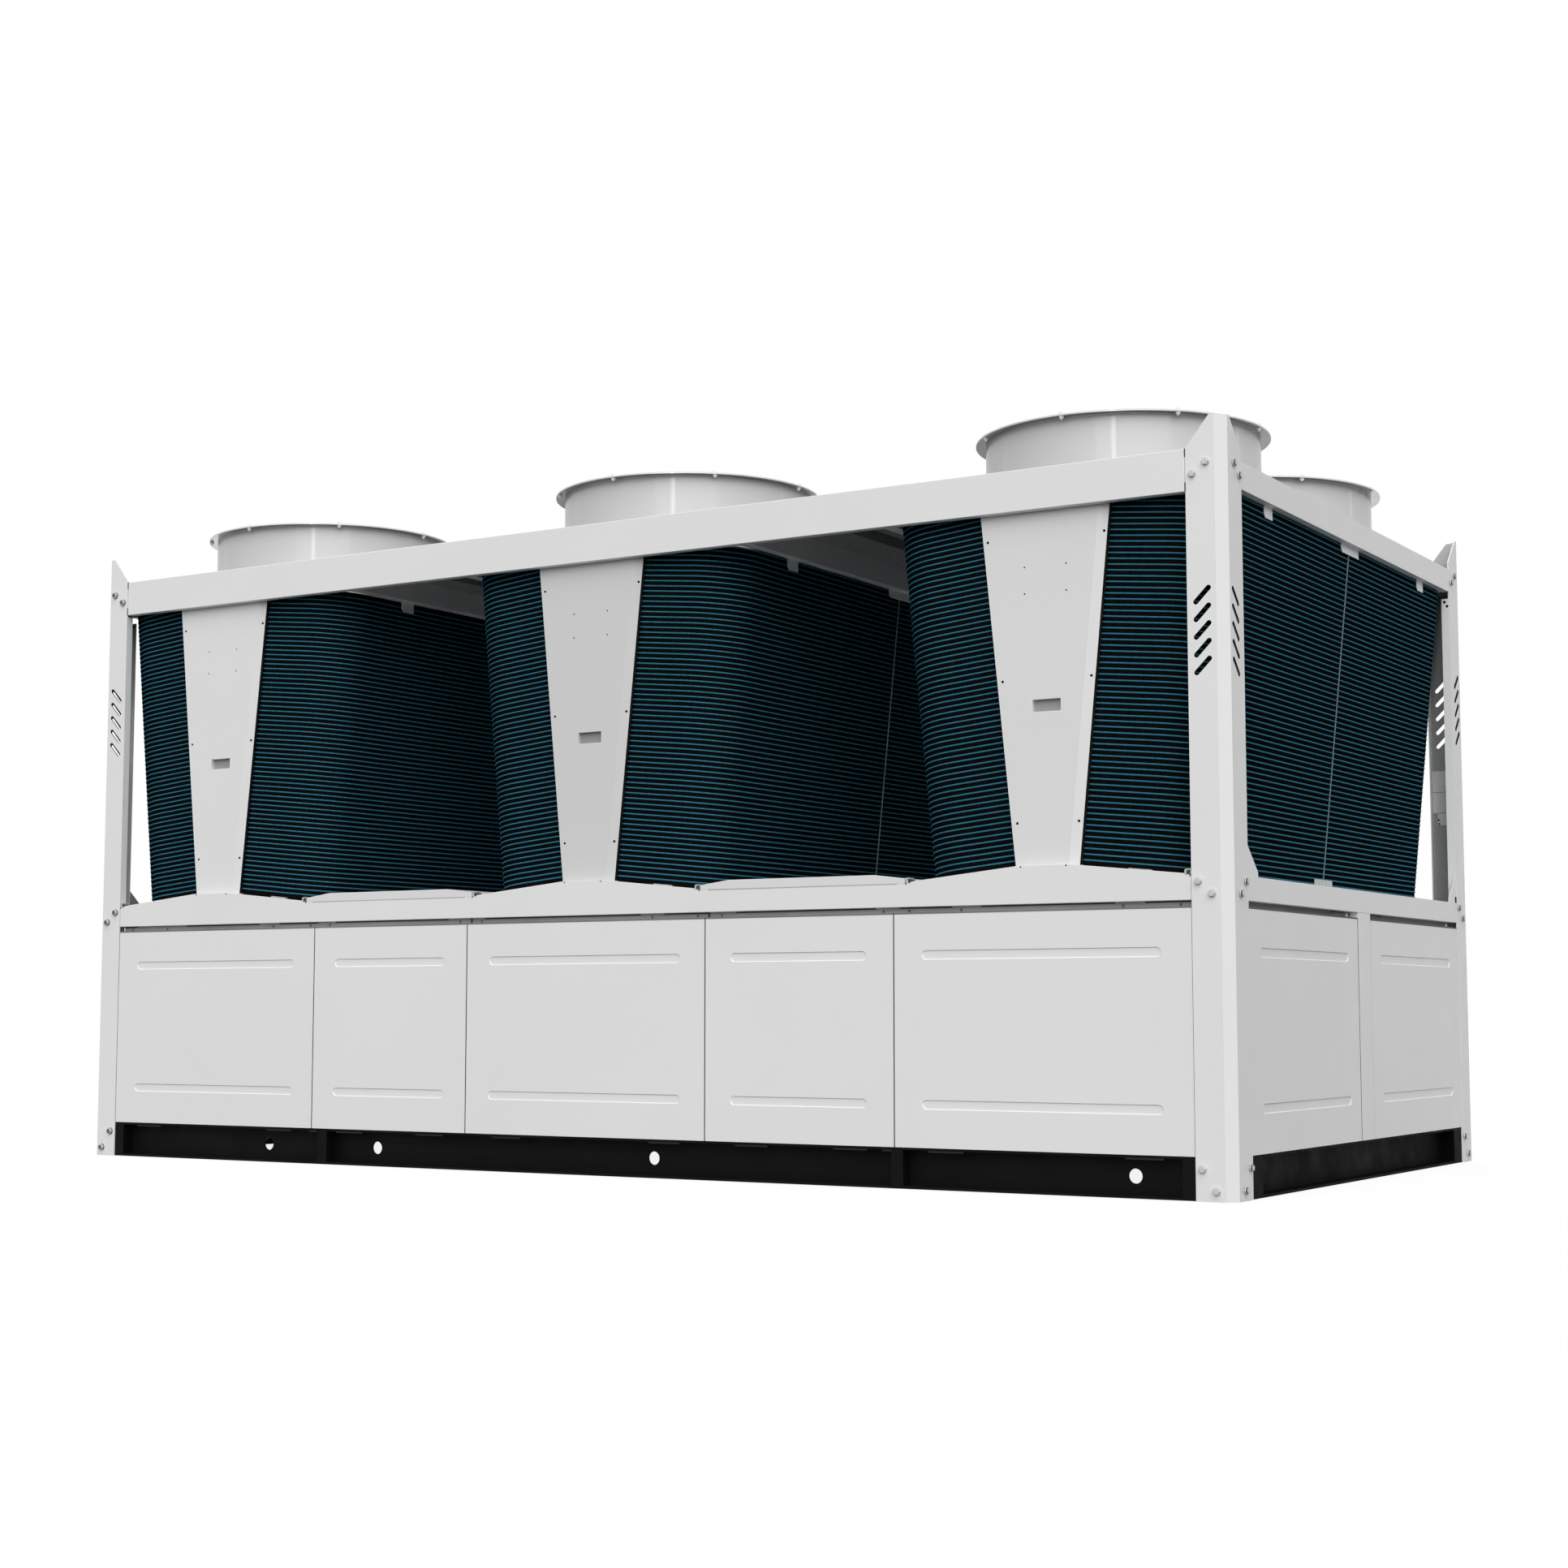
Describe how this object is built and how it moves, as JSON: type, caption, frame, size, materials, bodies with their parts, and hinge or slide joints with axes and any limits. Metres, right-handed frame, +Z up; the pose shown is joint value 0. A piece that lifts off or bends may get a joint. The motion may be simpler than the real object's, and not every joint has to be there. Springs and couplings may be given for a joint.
{
  "type": "air cooled water chiller",
  "caption": "Roof-fan water chiller: bent condenser coils in V-shaped modules stand on a closed sheet-metal cabinet, framed by corner posts, on a black base with lifting holes.",
  "frame": {"origin": "middle of the footprint, at ground level", "axes": "+X along the length towards the right-hand end seen from the front, +Y towards the rear, +Z up"},
  "size_m": [4.412, 2.28, 2.2938],
  "materials": {
    "cabinet_paint": "light grey powder coat, satin",
    "base_paint": "black paint, satin",
    "coil_fins": "dark fins with blue-green coated edges",
    "galvanised_sheet": "galvanised sheet",
    "guard_wire": "black coated wire",
    "fan_plastic": "dark moulded blades"
  },
  "bodies": {
    "root": {"base_front_rail": "base_paint", "base_rear_rail": "base_paint", "base_left_rail": "base_paint", "base_right_rail": "base_paint", "base_cross_members": "base_paint", "post_front_left": "cabinet_paint", "post_front_right": "cabinet_paint", "post_rear_left": "cabinet_paint", "post_rear_right": "cabinet_paint", "front_panels": "cabinet_paint", "rear_panels": "cabinet_paint", "left_panels": "cabinet_paint", "right_panels": "cabinet_paint", "mid_beam_front": "cabinet_paint", "mid_beam_rear": "cabinet_paint", "mid_beam_left": "cabinet_paint", "mid_beam_right": "cabinet_paint", "valley_covers": "cabinet_paint", "coil_covers_front": "cabinet_paint", "coil_covers_rear": "cabinet_paint", "top_beam_front": "cabinet_paint", "top_beam_rear": "cabinet_paint", "top_beam_left": "cabinet_paint", "top_beam_right": "cabinet_paint", "deck_rails": "cabinet_paint", "mid_cross_beams": "galvanised_sheet", "drain_pan_left": "galvanised_sheet", "coils_left": "coil_fins", "deck_left": "cabinet_paint", "cowl_left_front": "cabinet_paint", "cowl_left_rear": "cabinet_paint", "guards_left": "guard_wire", "fans_left": "fan_plastic", "drain_pan_middle": "galvanised_sheet", "coils_middle": "coil_fins", "deck_middle": "cabinet_paint", "cowl_middle_front": "cabinet_paint", "cowl_middle_rear": "cabinet_paint", "guards_middle": "guard_wire", "fans_middle": "fan_plastic", "drain_pan_right": "galvanised_sheet", "coils_right": "coil_fins", "deck_right": "cabinet_paint", "cowl_right_front": "cabinet_paint", "cowl_right_rear": "cabinet_paint", "guards_right": "guard_wire", "fans_right": "fan_plastic"}
  },
  "joints": []
}
